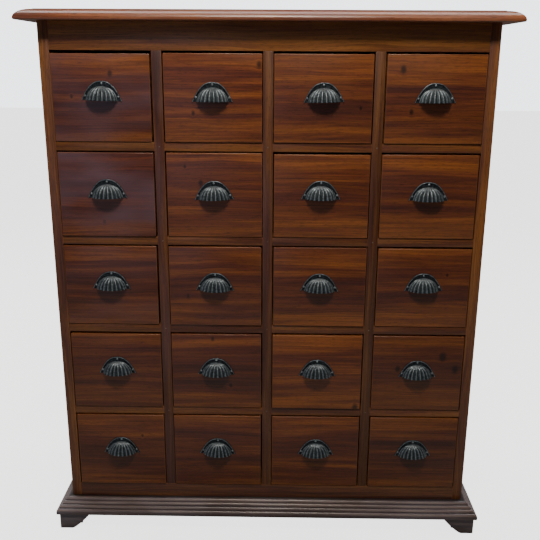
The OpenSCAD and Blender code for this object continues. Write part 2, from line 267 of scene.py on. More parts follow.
def mahogany(name, dark, mid, light, roughness, front=False, faded=0.0, rubbed_and_lit_to="#8d5a37"):
    """Mahogany, planed, stained dark and hand-lacquered to a satin sheen.

    It gives broad bands of brown and orange growth, fine streaks along the fibres, short open pores,
    arrises and reed crests rubbed lighter with a painted highlight along them, a painted cool bluish
    sheen in cloudy patches, and a sheen that smudges have dulled in places. For the plinth it also greys
    the wood in patches and paints shade into the grooves between its reeds. The pores are drawn about
    three times their real width, because they would be too fine to show.
    """
    material, tree = new_material(name)
    place = add(tree, "Attribute", attribute_name="grain")["Vector"]
    stain_and_sheen_notes = add(tree, "Attribute", attribute_name="stain_and_sheen")["Vector"]
    stain_and_sheen_parts = add(tree, "SeparateXYZ", {"Vector": stain_and_sheen_notes})

    # fibres sway by a few millimetres over a hand's length
    spread = add(tree, "Mapping", {"Vector": place, "Scale": fibre_scale(210, 60)})["Vector"]
    sway = add(tree, "TexNoise", {"Vector": spread, "Scale": 1.0, "Detail": 1.0})["Fac"]
    lift = add(tree, "Math", {0: sway, 1: 0.5}, operation="SUBTRACT")[0]
    lift = add(tree, "Math", {0: lift, 1: 16 * MM}, operation="MULTIPLY")[0]
    core = None
    if front:
        for which in KNOT_SLOTS:
            offset = add(tree, "Attribute", attribute_name=which)["Vector"]
            reach = add(tree, "VectorMath", {0: offset}, operation="LENGTH")["Value"]
            pull = add(tree, "MapRange", {"Value": reach, "From Min": 0.0, "From Max": 4.0, "To Min": 1.0,
                                          "To Max": 0.0}, interpolation_type="SMOOTHSTEP")["Result"]
            up = add(tree, "SeparateXYZ", {"Vector": offset})["Y"]
            bend = add(tree, "Math", {0: up, 1: pull}, operation="MULTIPLY")[0]
            bend = add(tree, "Math", {0: bend, 1: -2.6 * MM}, operation="MULTIPLY")[0]
            lift = add(tree, "Math", {0: lift, 1: bend}, operation="ADD")[0]
            eye = add(tree, "MapRange", {"Value": reach, "From Min": 0.5, "From Max": 2.1, "To Min": 0.22,
                                         "To Max": 1.0}, interpolation_type="SMOOTHSTEP")["Result"]
            core = eye if core is None else add(tree, "Math", {0: core, 1: eye}, operation="MULTIPLY")[0]
    moved = add(tree, "CombineXYZ", {"X": 0.0, "Y": lift, "Z": 0.0})["Vector"]
    place = add(tree, "VectorMath", {0: place, 1: moved}, operation="ADD")["Vector"]

    # growth bands, a finger wide
    spread = add(tree, "Mapping", {"Vector": place, "Scale": fibre_scale(420, 17)})["Vector"]
    bands = add(tree, "TexNoise", {"Vector": spread, "Scale": 1.0, "Detail": 5.0,
                                   "Roughness": 0.62, "Distortion": 0.15})["Fac"]
    warm = add(tree, "Math", {0: stain_and_sheen_parts["Y"], 1: 0.12, 2: bands}, operation="MULTIPLY_ADD")[0]
    if front:
        # a front is cut with the dark heart along its middle and the orange sapwood side at top and bottom
        on_front = add(tree, "Attribute", attribute_name="on_front")["Vector"]
        height = add(tree, "SeparateXYZ", {"Vector": on_front})["Z"]
        drift = add(tree, "Math", {0: sway, 1: 0.5}, operation="SUBTRACT")[0]
        height = add(tree, "Math", {0: drift, 1: 0.9, 2: height}, operation="MULTIPLY_ADD")[0]
        height = add(tree, "Math", {0: height}, operation="ABSOLUTE")[0]
        heart = add(tree, "MapRange", {"Value": height, "From Min": 0.25, "From Max": 1.0, "To Min": -0.045,
                                       "To Max": 0.10}, interpolation_type="SMOOTHSTEP")["Result"]
        warm = add(tree, "Math", {0: warm, 1: heart}, operation="ADD")[0]
    colour = add(tree, "ValToRGB", {"Fac": warm}, stops=[
        (0.30, hex_colour(dark)), (0.70, hex_colour(light)), (0.48, hex_colour(mid))])["Color"]

    # fine streaks
    spread = add(tree, "Mapping", {"Vector": place, "Scale": fibre_scale(190, 2.6)})["Vector"]
    streaks = add(tree, "TexNoise", {"Vector": spread, "Scale": 1.0, "Detail": 4.0,
                                     "Roughness": 0.7})["Fac"]
    shade = add(tree, "ValToRGB", {"Fac": streaks}, stops=[(0.36, grey(0.66)), (0.64, grey(1.28))])["Color"]
    colour = add(tree, "Mix", {0: 1.0, 6: colour, 7: shade}, data_type="RGBA", blend_type="MULTIPLY")[2]

    # open pores, filled with dark stain
    spread = add(tree, "Mapping", {"Vector": place, "Scale": fibre_scale(13, 1.5)})["Vector"]
    pores = add(tree, "TexNoise", {"Vector": spread, "Scale": 1.0, "Detail": 2.0})["Fac"]
    pits = add(tree, "ValToRGB", {"Fac": pores}, stops=[(0.33, grey(0.55)), (0.45, grey(1.0))])["Color"]
    colour = add(tree, "Mix", {0: 0.8, 6: colour, 7: pits}, data_type="RGBA", blend_type="MULTIPLY")[2]
    if core is not None:
        colour = add(tree, "Mix", {0: 1.0, 6: colour, 7: core}, data_type="RGBA", blend_type="MULTIPLY")[2]

    # how this board took the stain, then a painted cool bluish sheen laid over it in cloudy patches
    depth = add(tree, "Math", {0: stain_and_sheen_parts["X"], 1: 1.0}, operation="ADD")[0]
    colour = add(tree, "Mix", {0: 1.0, 6: colour, 7: depth}, data_type="RGBA", blend_type="MULTIPLY")[2]
    spread = add(tree, "Mapping", {"Vector": place, "Scale": fibre_scale(160, 70)})["Vector"]
    cloud = add(tree, "TexNoise", {"Vector": spread, "Scale": 1.0, "Detail": 2.0})["Fac"]
    cloudy = add(tree, "MapRange", {"Value": cloud, "From Min": 0.38, "From Max": 0.68})["Result"]
    bloomed = add(tree, "Math", {0: cloudy, 1: stain_and_sheen_parts["Z"]}, operation="MULTIPLY")[0]
    colour = add(tree, "Mix", {0: bloomed, 6: colour, 7: hex_colour("#6f5560")}, data_type="RGBA")[2]

    # arrises and reed crests rubbed lighter, which also paints a highlight along them
    wear_and_highlight = add(tree, "Attribute", attribute_name="wear_and_highlight")["Fac"]
    patches = add(tree, "MapRange", {"Value": cloud, "From Min": 0.35, "From Max": 0.6, "To Min": 0.15,
                                     "To Max": 0.6})["Result"]
    rubbed_and_lit = add(tree, "Math", {0: wear_and_highlight, 1: patches}, operation="MULTIPLY")[0]
    if faded:
        # greyed towards a cool grey in patches
        greyed = add(tree, "MapRange", {"Value": cloud, "From Min": 0.36, "From Max": 0.64,
                                        "To Min": 0.4 * faded, "To Max": 1.5 * faded})["Result"]
        colour = add(tree, "Mix", {0: greyed, 6: colour, 7: hex_colour("#77737e")}, data_type="RGBA")[2]
    colour = add(tree, "Mix", {0: rubbed_and_lit, 6: colour, 7: hex_colour(rubbed_and_lit_to)}, data_type="RGBA")[2]
    if faded:
        # painted shade: darker in the grooves between the reeds and along the toe below them
        groove_shade = add(tree, "Attribute", attribute_name="groove_shade")["Fac"]
        groove_shading = add(tree, "MapRange", {"Value": groove_shade, "To Min": 1.0, "To Max": 0.2})["Result"]
        colour = add(tree, "Mix", {0: 1.0, 6: colour, 7: groove_shading}, data_type="RGBA", blend_type="MULTIPLY")[2]

    # the sheen, dulled where it is smudged, over a faint relief of streaks and pores
    smudge = add(tree, "MapRange", {"Value": cloud, "From Min": 0.3, "From Max": 0.7,
                                    "To Min": roughness - 0.06, "To Max": roughness + 0.08})["Result"]
    relief = add(tree, "Math", {0: streaks, 1: 0.5, 2: pores}, operation="MULTIPLY_ADD")[0]
    normal = add(tree, "Bump", {"Height": relief, "Strength": 0.35, "Distance": 0.25 * MM})["Normal"]
    surface = add(tree, "BsdfPrincipled", {"Base Color": colour, "Roughness": smudge, "Normal": normal,
                                           "IOR": 1.5, "Coat Weight": 0.18, "Coat Roughness": 0.28})["BSDF"]
    add(tree, "OutputMaterial", {"Surface": surface})
    return material


def bare_wood(name, along=None):
    """Plain plantation wood, sawn and left bare inside the case: pale brown, dry, with soft streaks.

    A board made here carries its own grain; a CAD piece gets it from its place, along the axis given.
    """
    material, tree = new_material(name)
    if along is None:
        place = add(tree, "Attribute", attribute_name="grain")["Vector"]
    else:
        here = add(tree, "TexCoord")["Object"]
        parts = add(tree, "SeparateXYZ", {"Vector": here})
        lengthwise, across, through = (parts[i] for i in FIBRES[along])
        place = add(tree, "CombineXYZ", {"X": lengthwise, "Y": across, "Z": through})["Vector"]
    spread = add(tree, "Mapping", {"Vector": place, "Scale": fibre_scale(300, 16)})["Vector"]
    bands = add(tree, "TexNoise", {"Vector": spread, "Scale": 1.0, "Detail": 4.0,
                                   "Roughness": 0.6, "Distortion": 0.5})["Fac"]
    colour = add(tree, "ValToRGB", {"Fac": bands}, stops=[
        (0.33, hex_colour("#7c5836")), (0.68, hex_colour("#b58a5c")), (0.5, hex_colour("#9c7148"))])["Color"]
    spread = add(tree, "Mapping", {"Vector": place, "Scale": fibre_scale(60, 1.6)})["Vector"]
    fibres = add(tree, "TexNoise", {"Vector": spread, "Scale": 1.0, "Detail": 3.0})["Fac"]
    shade = add(tree, "ValToRGB", {"Fac": fibres}, stops=[(0.35, grey(0.75)), (0.65, grey(1.12))])["Color"]
    colour = add(tree, "Mix", {0: 1.0, 6: colour, 7: shade}, data_type="RGBA", blend_type="MULTIPLY")[2]
    stain_and_sheen_notes = add(tree, "Attribute", attribute_name="stain_and_sheen")["Vector"]
    tone = add(tree, "SeparateXYZ", {"Vector": stain_and_sheen_notes})["X"]
    tone = add(tree, "Math", {0: tone, 1: 1.0}, operation="ADD")[0]
    colour = add(tree, "Mix", {0: 1.0, 6: colour, 7: tone}, data_type="RGBA", blend_type="MULTIPLY")[2]
    normal = add(tree, "Bump", {"Height": fibres, "Strength": 0.5, "Distance": 0.4 * MM})["Normal"]
    surface = add(tree, "BsdfPrincipled", {"Base Color": colour, "Roughness": 0.72, "Normal": normal,
                                           "IOR": 1.45})["BSDF"]
    add(tree, "OutputMaterial", {"Surface": surface})
    return material


def antique_pewter():
    """Cast zinc alloy with an antique pewter finish: blackened, then buffed so the ribs come up grey."""
    material, tree = new_material("antique_pewter")
    here = add(tree, "TexCoord")["Object"]
    buffed = add(tree, "Attribute", attribute_name="buffed")["Fac"]
    cloth = add(tree, "TexNoise", {"Vector": here, "Scale": 1 / (4 * MM), "Detail": 3.0})["Fac"]
    uneven = add(tree, "MapRange", {"Value": cloth, "From Min": 0.3, "From Max": 0.7, "To Min": -0.18,
                                    "To Max": 0.18})["Result"]
    rub = add(tree, "Math", {0: buffed, 1: uneven}, operation="ADD", use_clamp=True)[0]
    colour = add(tree, "ValToRGB", {"Fac": rub}, stops=[
        (0.05, hex_colour("#1f2225")), (1.0, hex_colour("#9aa5ac")), (0.5, hex_colour("#4c565c"))])["Color"]
    roughness = add(tree, "MapRange", {"Value": rub, "To Min": 0.62, "To Max": 0.46})["Result"]
    grit = add(tree, "TexNoise", {"Vector": here, "Scale": 1 / (0.8 * MM), "Detail": 2.0})["Fac"]
    normal = add(tree, "Bump", {"Height": grit, "Strength": 0.25, "Distance": 0.1 * MM})["Normal"]
    surface = add(tree, "BsdfPrincipled", {"Base Color": colour, "Metallic": 0.75, "Roughness": roughness,
                                           "Normal": normal})["BSDF"]
    add(tree, "OutputMaterial", {"Surface": surface})
    return material


def old_nail():
    """Steel nail heads, rubbed by years of polishing cloths: dull grey with brown spots."""
    material, tree = new_material("old_nail_steel")
    here = add(tree, "TexCoord")["Object"]
    spots = add(tree, "TexNoise", {"Vector": here, "Scale": 1 / (1.2 * MM), "Detail": 2.0})["Fac"]
    colour = add(tree, "ValToRGB", {"Fac": spots}, stops=[
        (0.4, hex_colour("#6b5646")), (0.6, hex_colour("#9a9490"))])["Color"]
    surface = add(tree, "BsdfPrincipled", {"Base Color": colour, "Metallic": 0.7, "Roughness": 0.5})["BSDF"]
    add(tree, "OutputMaterial", {"Surface": surface})
    return material


FRAME_WOOD = mahogany("satin_mahogany_frame", "#3d1c13", "#60341d", "#8a5727", 0.44)
FRONT_WOOD = mahogany("satin_mahogany_drawer_fronts", "#4a221a", "#64311a", "#8e5121", 0.43, front=True)
TOP_WOOD = mahogany("satin_mahogany_top", "#4a271e", "#743f2a", "#965c3a", 0.3)
PLINTH_WOOD = mahogany("worn_mahogany_plinth_with_painted_light", "#33211c", "#53403a", "#7c675d", 0.34,
                       faded=0.38, rubbed_and_lit_to="#a8948a")
BARE_WOOD = bare_wood("bare_box_wood")
BARE_RUNNERS = bare_wood("bare_runner_wood", "y")
BARE_RAILS = bare_wood("bare_rail_wood", "x")
PEWTER = antique_pewter()
NAIL_STEEL = old_nail()


# ---------------------------------------------------------------- the case

ARRIS = 0.8 * MM
STILE_ARRIS = 3 * MM
UPRIGHTS = (1, 2, 3)
RAIL_ROWS = (1, 2, 3, 4)
NAIL_HEAD_R = 1.5 * MM
# How high a nail's head domes, as a share of its radius
NAIL_DOME = 0.25


def stile_arris(piece, x, radius):
    """Rounds the long front arris of a side panel at x."""
    shaped(piece)
    bpy.ops.object.mode_set(mode="EDIT")
    bpy.ops.mesh.select_all(action="DESELECT")
    bpy.ops.object.mode_set(mode="OBJECT")
    front = min(v.co.y for v in piece.data.vertices)
    for edge in piece.data.edges:
        ends = [piece.data.vertices[i].co for i in edge.vertices]
        edge.select = all(abs(p.x - x) < MM and abs(p.y - front) < MM for p in ends)
    bpy.ops.object.mode_set(mode="EDIT")
    bpy.ops.mesh.select_mode(type="EDGE")
    bpy.ops.mesh.bevel(offset=radius, segments=5)
    bpy.ops.object.mode_set(mode="OBJECT")


def case_board(node, low, high, along, arris=ARRIS, **stain_and_sheen_notes):
    """A lacquered board of the case that stands for one CAD node."""
    piece = block(node + "_board", low, high)
    ease(piece, arris)
    lay_grain(piece, along)
    stain_and_sheen(piece, **stain_and_sheen_notes)
    finish_piece(piece, "case", FRAME_WOOD, "frame_wood", node)
    return piece


def make_sides():
    for node, outer in (("side_left", 0), ("side_right", 1)):
        low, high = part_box(node)
        piece = block(node + "_board", low, high)
        stile_arris(piece, (low, high)[outer].x, STILE_ARRIS)
        ease(piece, ARRIS)
        lay_grain(piece, "z")
        stain_and_sheen(piece, depth=0.12, warmth=0.5 + 0.3 * outer, bloom=0.05)
        finish_piece(piece, "case", FRAME_WOOD, "frame_wood", node)


def make_front_frame():
    left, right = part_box("side_left")[1].x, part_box("side_right")[0].x
    for node, depth, warmth in (("top_rail", 0.2, 1.1), ("bottom_rail", -0.1, 0.15)):
        low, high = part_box(node)
        case_board(node, (left, low.y, low.z), (right, high.y, high.z), "x",
                   depth=depth, warmth=warmth, bloom=0.05)
    foot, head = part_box("bottom_rail")[1].z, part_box("top_rail")[0].z
    uprights = [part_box(f"divider_{i}") for i in UPRIGHTS]
    # Uprights further right are stained darker, partly painted shade that tones down the key lamp's bright
    # pool at the middle; the painted cool sheen is strongest on the left one
    for i, (low, high) in enumerate(uprights):
        case_board(f"divider_{i + 1}", (low.x, low.y, foot), (high.x, high.y, head), "z",
                   depth=-0.05 - 0.11 * i, warmth=-0.5 + 0.4 * i, bloom=0.3 - 0.14 * i)
    starts = [left] + [high.x for low, high in uprights]
    ends = [low.x for low, high in uprights] + [right]
    for row in RAIL_ROWS:
        low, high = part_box(f"drawer_rails_{row}")
        rails = []
        for x0, x1 in zip(starts, ends):
            rail = block("rail", (x0, low.y, low.z), (x1, high.y, high.z))
            ease(rail, ARRIS)
            lay_grain(rail, "x")
            stain_and_sheen(rail, depth=chance.uniform(0.0, 0.3), warmth=chance.uniform(0.2, 0.9), bloom=0.02)
            rails.append(rail)
        joined = join(f"short_rails_{row}", rails)
        finish_piece(joined, "case", FRAME_WOOD, "frame_wood", f"drawer_rails_{row}")


def make_nail_heads():
    """A nail through each upright at each crossing, its head punched level and a little domed."""
    heads = []
    for i in UPRIGHTS:
        low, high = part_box(f"divider_{i}")
        for row in RAIL_ROWS:
            rail_low, rail_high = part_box(f"drawer_rails_{row}")
            place = ((low.x + high.x) / 2, low.y, (rail_low.z + rail_high.z) / 2)
            bpy.ops.object.select_all(action="DESELECT")
            bpy.ops.mesh.primitive_uv_sphere_add(segments=16, ring_count=8, radius=NAIL_HEAD_R)
            bpy.ops.transform.resize(value=(1, NAIL_DOME, 1))
            bpy.ops.object.transform_apply(location=True, rotation=True, scale=True)
            heads.append(headed("nail_head", place, inset=0.6 * MM, shank=1 * MM))
    piece = join("nail_heads", heads)
    bpy.ops.object.shade_smooth()
    finish_piece(piece, "case", NAIL_STEEL, "nail_steel", "frame_nails")


def make_top():
    """The top board, run up from its underside through the broad thumbnail moulding on its front and ends."""
    low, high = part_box("top_board")
    thick, nose, thumb, step = high.z - low.z, 3 * MM, 30 * MM, 1 * MM
    run = arc((-nose, nose), (nose, nose), -90, 0, 6)
    run += arc((-thumb, nose), (thumb, thick - step - nose), 0, 90, 22)[1:]
    quirk = -thumb - 0.3 * MM
    run += [(quirk, thick - step), (quirk, thick - 0.4 * MM), (-thumb - 0.8 * MM, thick)]
    half, depth = high.x, high.y - low.y
    bpy.ops.object.select_all(action="DESELECT")
    bpy.ops.mesh.primitive_plane_add(size=1, location=(0, high.y - (depth - nose) / 2, low.z))
    bpy.ops.transform.resize(value=(2 * (half - nose), depth - nose, 1))
    bpy.ops.object.transform_apply(location=True, rotation=True, scale=True)
    piece = named("top_board_moulded")
    bpy.ops.object.mode_set(mode="EDIT")
    bpy.ops.mesh.select_mode(type="FACE")
    bpy.ops.mesh.select_all(action="SELECT")
    for before, after in zip(run, run[1:]):
        bpy.ops.mesh.extrude_region_move(TRANSFORM_OT_translate={"value": (0, 0, after[1] - before[1])})
        wider = ((half + after[0]) / (half + before[0]), (depth + after[0]) / (depth + before[0]), 1)
        bpy.ops.transform.resize(value=wider, center_override=(0, high.y, low.z))
    bpy.ops.mesh.select_all(action="SELECT")
    bpy.ops.mesh.normals_make_consistent(inside=False)
    bpy.ops.object.mode_set(mode="OBJECT")
    bpy.ops.object.shade_smooth_by_angle(angle=math.radians(30))
    lay_grain(piece, "x")
    stain_and_sheen(piece, depth=0.1, warmth=0.5, bloom=0.1)
    finish_piece(piece, "case", TOP_WOOD, "top_wood", "top_board")


PLINTH_TOE = 7 * MM
PLINTH_TOP_OUT = 7 * MM
REEDS = 4


def plinth_run(out, height):
    """The reeded moulding's section as (distance out, height) pairs, from the foot up."""
    dx, dz = (out - PLINTH_TOP_OUT) / REEDS, (height - PLINTH_TOE) / REEDS
    run = [(0, 0), (out - MM, 0)]
    run += arc((out - 1.5 * MM, PLINTH_TOE - 2 * MM), (1.5 * MM, 2 * MM), 0, 90, 4)
    for i in range(REEDS):
        centre = (out - (i + 1) * dx, PLINTH_TOE + i * dz + 0.4 * MM)
        run += arc(centre, (dx * 0.94, dz - 0.8 * MM), -14, 90, 7)
    return run + [(PLINTH_TOP_OUT - MM, height), (0, height)]


def wear_reeds(piece):
    """Marks the crest of each reed as worn, with a painted highlight, and paints shade into the grooves
    between them and along the toe.
    """
    heights = [v.co.z for v in piece.data.vertices]
    bottom = min(heights) + PLINTH_TOE
    pitch = (max(heights) - bottom) / REEDS
    wear_and_highlight = piece.data.attributes.new("wear_and_highlight", "FLOAT", "POINT")
    groove_shade = piece.data.attributes.new("groove_shade", "FLOAT", "POINT")
    for height, crest, groove in zip(heights, wear_and_highlight.data, groove_shade.data):
        up = max(0.0, (height - bottom) / pitch) % 1.0
        bulge = 4 * up * (1 - up)
        crest.value = max(0.0, 2 * bulge - 1)
        groove.value = max(0.0, 1 - 2.5 * bulge) if height > bottom else 0.3


def smooth_moulding(piece):
    """Shades a length of the moulding smooth along its reeds, and marks their wear, painted highlight and
    painted groove shade.
    """
    wear_reeds(piece)
    shaped(piece)
    bpy.ops.object.shade_smooth_by_angle(angle=math.radians(40))


def make_plinth():
    low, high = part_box("plinth_front")
    left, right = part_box("side_left")[0].x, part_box("side_right")[1].x
    front = high.y
    run = plinth_run(high.y - low.y, high.z - low.z)
    outline = [(left, front - out, low.z + up) for out, up in run]
    piece = sawn("plinth_front_moulding", outline, (right - left, 0, 0))
    for vertex in piece.data.vertices:
        out = front - vertex.co.y
        vertex.co.x += out if vertex.co.x > 0 else -out
    smooth_moulding(piece)
    lay_grain(piece, "x")
    stain_and_sheen(piece, depth=0.1, warmth=0.1, bloom=0.3)
    finish_piece(piece, "case", PLINTH_WOOD, "plinth_wood", "plinth_front")
    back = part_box("plinth_returns")[1].y
    returns = []
    for side, x in ((-1, left), (1, right)):
        outline = [(x + side * out, back, low.z + up) for out, up in run]
        returned = sawn("plinth_return", outline, (0, front - back, 0))
        for vertex in returned.data.vertices:
            if vertex.co.y < back - MM:
                vertex.co.y -= abs(vertex.co.x - x)
        smooth_moulding(returned)
        lay_grain(returned, "y")
        stain_and_sheen(returned, depth=0.1)
        returns.append(returned)
    finish_piece(join("plinth_side_mouldings", returns), "case", PLINTH_WOOD, "plinth_wood", "plinth_returns")


def make_feet():
    """Four bracket feet, each of two mitred brackets and a glue block behind them.

    The brackets' inner edges slope out with a little belly.
    """
    low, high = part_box("bracket_feet")
    top, width, floor_width, thick, strip, glue = high.z, 67 * MM, 28 * MM, 20 * MM, 5 * MM, 26 * MM
    points, curve = 14, 1.3
    steps = [i / points for i in range(points + 1)]
    belly = [(floor_width + (width - floor_width) * t, (top - strip) * t ** curve) for t in steps]
    outline = [(0, top), (0, 0)] + belly + [(width, top)]
    feet = []
    for corner_x, sx in ((low.x, 1), (high.x, -1)):
        for corner_y, sy in ((low.y, 1), (high.y, -1)):
            facing = [(corner_x + sx * u, corner_y, z) for u, z in outline]
            sideways = [(corner_x, corner_y + sy * u, z) for u, z in outline]
            front = sawn("bracket", facing, (0, sy * thick, 0))
            side = sawn("bracket", sideways, (sx * thick, 0, 0))
            for vertex in front.data.vertices:
                if abs(vertex.co.y - corner_y) > MM and abs(vertex.co.x - corner_x) < MM:
                    vertex.co.x += sx * thick
            for vertex in side.data.vertices:
                if abs(vertex.co.x - corner_x) > MM and abs(vertex.co.y - corner_y) < MM:
                    vertex.co.y += sy * thick
            corner = Vector((corner_x + sx * thick, corner_y + sy * thick, 0))
            far = corner + Vector((sx * glue, sy * glue, top))
            nearest = [min(a, b) for a, b in zip(corner, far)]
            furthest = [max(a, b) for a, b in zip(corner, far)]
            inner = block("glue_block", nearest, furthest)
            for piece, along in ((front, "x"), (side, "y"), (inner, "z")):
                ease(piece, ARRIS)
                lay_grain(piece, along)
                stain_and_sheen(piece, depth=-0.1)
                feet.append(piece)
    finish_piece(join("bracket_foot_boards", feet), "case", PLINTH_WOOD, "plinth_wood", "bracket_feet")


def make_back():
    """Six upright back boards, butted tight, with their long arrises bevelled so that each joint is a V."""
    low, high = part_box("back_boards")
    boards, vee = 6, 2.5 * MM
    pitch = (high.x - low.x) / boards
    pieces = []
    for i in range(boards):
        x = low.x + i * pitch
        board = block("back_board", (x, low.y, low.z), (x + pitch, high.y, high.z))
        ease(board, vee, 1)
        lay_grain(board, "z")
        recut(board)
        stain_and_sheen(board, depth=chance.uniform(-0.22, 0.12))
        pieces.append(board)
    finish_piece(join("back_boarding", pieces), "case", BARE_WOOD, "inside_wood", "back_boards")


make_sides()
make_front_frame()
make_nail_heads()
make_top()
make_plinth()
make_feet()
make_back()
for node, bare in (("drawer_runners", BARE_RUNNERS), ("back_rails", BARE_RAILS), ("base_board", BARE_RAILS)):
    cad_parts[node].data.materials.clear()
    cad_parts[node].data.materials.append(bare)


# ---------------------------------------------------------------- one drawer

FRONT_T = 18 * MM
SIDE_T = 10 * MM
LAP = 12 * MM
SIDE_DROP = 6 * MM
BACK_DROP = 8 * MM
BOTTOM_UP = 8 * MM
BOTTOM_T = 6 * MM
TAILS = 4
# Half of a tail's width at its neck and at its tip, as a share of the tails' pitch
TAIL_NECK, TAIL_TIP = 0.26, 0.37
# A front stands this far clear of the bottom of its drawer's box
FRONT_LIFT = 0.7 * MM
FRONT_ARRIS = 1.4 * MM
BOX_ARRIS = 0.5 * MM


def drawer_side(name, x, low, high):
    """A drawer's side, with dovetails that lap into the front."""
    shoulder, tip = low.y + FRONT_T, low.y + FRONT_T - LAP
    top = high.z - SIDE_DROP
    pitch = (top - low.z) / TAILS
    outline = [(x, high.y, low.z), (x, high.y, top), (x, shoulder, top)]
    for i in reversed(range(TAILS)):
        middle = low.z + (i + 0.5) * pitch
        for y, z in ((shoulder, TAIL_NECK), (tip, TAIL_TIP), (tip, -TAIL_TIP), (shoulder, -TAIL_NECK)):
            outline.append((x, y, middle + z * pitch))
    outline.append((x, shoulder, low.z))
    return sawn(name, outline, (SIDE_T, 0, 0))


def make_drawer():
    """The drawer of the top left opening: its front, and its box as one joined piece."""
    low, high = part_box("drawer_r1_c1")
    front = block("front", (low.x, low.y, low.z + FRONT_LIFT), (high.x, low.y + FRONT_T, high.z))
    ease(front, FRONT_ARRIS, 3)
    sides = [drawer_side("side", x, low, high) for x in (low.x, high.x - SIDE_T)]
    for side in sides:
        apply(front, "BOOLEAN", object=side, operation="DIFFERENCE", solver="EXACT")
    lay_grain(front, "x")
    inner_left, inner_right = low.x + SIDE_T, high.x - SIDE_T
    floor = low.z + BOTTOM_UP
    bottom = block("bottom", (inner_left, low.y + FRONT_T, floor), (inner_right, high.y, floor + BOTTOM_T))
    back = block("back", (inner_left, high.y - SIDE_T, floor + BOTTOM_T),
                 (inner_right, high.y, high.z - SIDE_DROP - BACK_DROP))
    for piece, along in ((sides[0], "y"), (sides[1], "y"), (bottom, "x"), (back, "x")):
        lay_grain(piece, along)
        apply(piece, "BEVEL", width=BOX_ARRIS, segments=1, limit_method="ANGLE", angle_limit=math.radians(50))
    return front, join("box", [sides[0], sides[1], bottom, back])


# ---------------------------------------------------------------- one shell pull

RIBS = 10
CUP_W, CUP_H, CUP_OUT = 64 * MM, 27.8 * MM, 21 * MM
FLANGE_W, FLANGE_H, FLANGE_CURVE = 81 * MM, 38 * MM, 2.45
CUP_WALL, FLANGE_WALL = 1.5 * MM, 0.8 * MM
CREST_SHARPNESS = 2.8
FLUTE_DEPTH = 0.12
LIP_FLARE = 0.03
# The part of the cup's height that flares out to its lip
LIP_SHARE = 0.12
# How far the cloth has buffed the ribs' crests, the flange's bead and the sunk band inside it
CREST_BUFF, BEAD_BUFF, BAND_BUFF = 0.84, 0.74, 0.2
PIN_HEAD_R = 2.2 * MM
# How high a pin's head domes, as a share of its radius
PIN_DOME = 0.75
PIN_PLACES = ((-33.2 * MM, 8.2 * MM), (33.2 * MM, 8.2 * MM), (0, 33.2 * MM))


def make_cup():
    """A ribbed quarter shell: X across, Y in, Z up from its lower edge. Ribs fan out from the top."""
    steps = 8
    around = 2 * RIBS * steps
    bpy.ops.object.select_all(action="DESELECT")
    bpy.ops.mesh.primitive_uv_sphere_add(segments=around, ring_count=44, radius=1)
    cup = named("cup")
    bpy.ops.object.mode_set(mode="EDIT")
    for plane in ((0, 1, 0), (0, 0, -1)):
        bpy.ops.mesh.select_all(action="SELECT")
        bpy.ops.mesh.bisect(plane_co=(0, 0, 0), plane_no=plane, clear_outer=True)
    bpy.ops.object.mode_set(mode="OBJECT")
    buffed = cup.data.attributes.new("buffed", "FLOAT", "POINT")
    for vertex, mark in zip(cup.data.vertices, buffed.data):
        x, y, z = vertex.co
        round_the_fan = (math.degrees(math.atan2(x, -y)) + 90) / 180 * RIBS
        crest = abs(math.sin(math.pi * round_the_fan)) ** CREST_SHARPNESS
        fan = math.hypot(x, y)
        fluted = min(1.0, 2.0 * max(0.0, fan - 0.3))
        flute = FLUTE_DEPTH * (1 - crest) * fluted
        lip_flare = LIP_FLARE * max(0.0, 1 - z / LIP_SHARE) ** 2
        reach = 1 - flute + lip_flare
        vertex.co = (x * reach * CUP_W / 2, y * reach * CUP_OUT, z * (1 - 0.6 * flute) * CUP_H)
        mark.value = CREST_BUFF - 0.6 * fluted * (1 - crest)
    apply(cup, "SOLIDIFY", thickness=CUP_WALL, offset=-1)
    bpy.ops.object.shade_smooth()
    return cup


def make_flange():
    """The arched plate round the cup: a raised bead along its edge and a sunk band inside it."""
    along = 72
    section = [(0.0, 0.0), (0.0, -1.6), (0.4, -2.2), (1.1, -2.4), (1.8, -2.2), (2.2, -1.6), (2.6, -0.9)]
    section = [(inset * MM, y * MM) for inset, y in section]
    bpy.ops.object.select_all(action="DESELECT")
    bpy.ops.mesh.primitive_grid_add(x_subdivisions=along, y_subdivisions=len(section), size=2)
    flange = named("flange")
    buffed = flange.data.attributes.new("buffed", "FLOAT", "POINT")
    rows = len(section) + 1
    for vertex, mark in zip(flange.data.vertices, buffed.data):
        angle = vertex.co.x * math.pi / 2
        row = round((vertex.co.y + 1) / 2 * (rows - 1))
        arch = FLANGE_H * (1 - abs(math.sin(angle)) ** FLANGE_CURVE)
        outer = Vector((FLANGE_W / 2 * math.sin(angle), 0, arch))
        inner = Vector(((CUP_W / 2 - CUP_WALL) * math.sin(angle), 0, (CUP_H - CUP_WALL) * math.cos(angle)))
        if row < len(section):
            inset, y = section[row]
            place = outer + (inner - outer).normalized() * inset
            place.y = y
        else:
            place = inner
            place.y = section[-1][1]
        vertex.co = place
        mark.value = BEAD_BUFF if 2 <= row <= 4 else BAND_BUFF
    shaped(flange)
    bpy.ops.object.mode_set(mode="EDIT")
    bpy.ops.mesh.select_all(action="SELECT")
    bpy.ops.mesh.normals_make_consistent(inside=False)
    bpy.ops.object.mode_set(mode="OBJECT")
    apply(flange, "SOLIDIFY", thickness=FLANGE_WALL, offset=-1)
    bpy.ops.object.shade_smooth_by_angle(angle=math.radians(50))
    return flange


